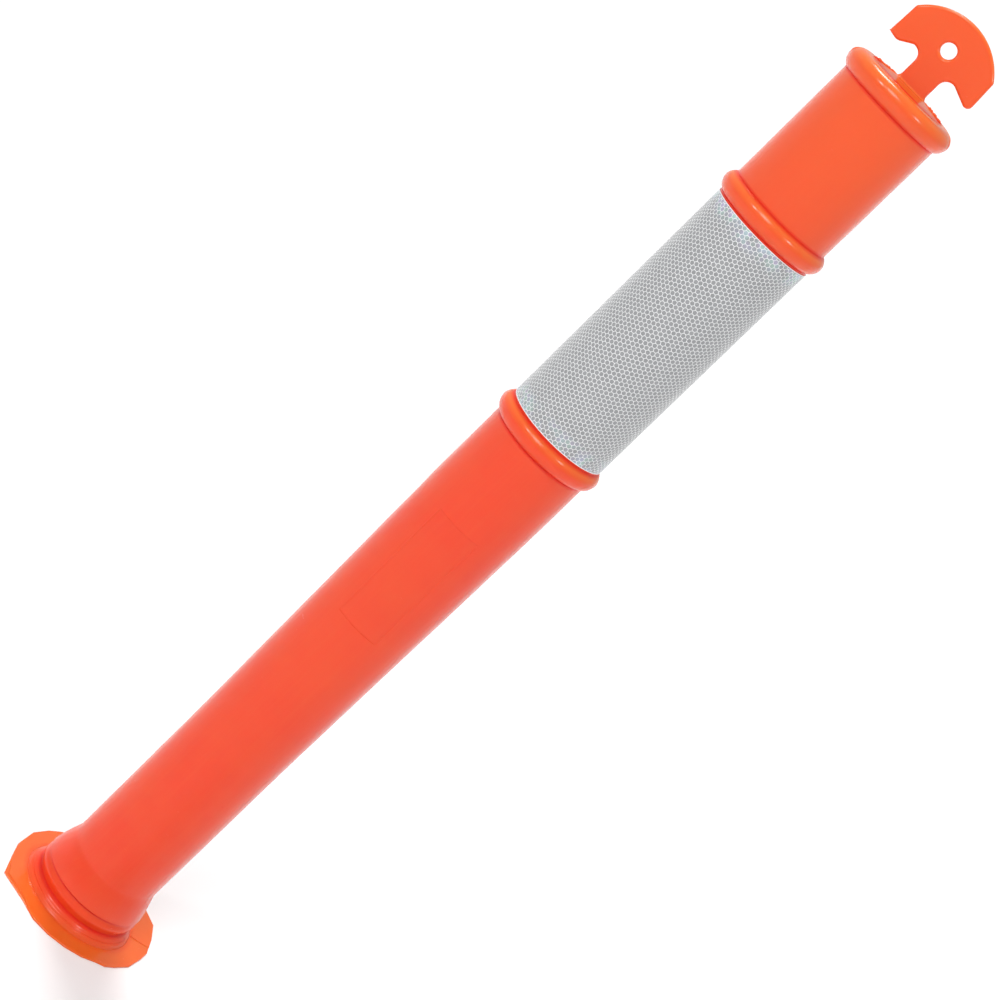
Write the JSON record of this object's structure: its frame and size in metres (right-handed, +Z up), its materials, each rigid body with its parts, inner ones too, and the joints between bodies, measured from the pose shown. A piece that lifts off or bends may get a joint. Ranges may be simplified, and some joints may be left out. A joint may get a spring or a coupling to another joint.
{
  "type": "traffic bollard stem",
  "caption": "Hollow orange traffic bollard stem with round beads, a T-shaped handle with a tie hole, a reflective honeycomb band and a flanged open foot.",
  "frame": {"origin": "on the ground, at the centre of the open foot under the stem's axis", "axes": "+Z up the stem; the T plate and the mould's parting line lie in the XZ plane; -Y faces the side with the label recess"},
  "size_m": [0.16, 0.1739, 1.15],
  "materials": {
    "orange_polyethylene": "satin blow-moulded polyethylene",
    "thin_orange_polyethylene": "satin, slightly see-through at its knife-trimmed edge",
    "band_adhesive": "clear tacky adhesive",
    "white_backing_film": "matt white film",
    "seal_web": "white honeycomb weld lines",
    "reflective_face_film": "glossy silver-white retroreflective face"
  },
  "bodies": {
    "root": {"stem_tube": "orange_polyethylene", "t_top": "orange_polyethylene", "foot_flange": "thin_orange_polyethylene", "band_adhesive": "band_adhesive", "band_backing_film": "white_backing_film", "band_seal_web": "seal_web", "band_face_film": "reflective_face_film", "band_lap": "reflective_face_film"}
  },
  "joints": []
}
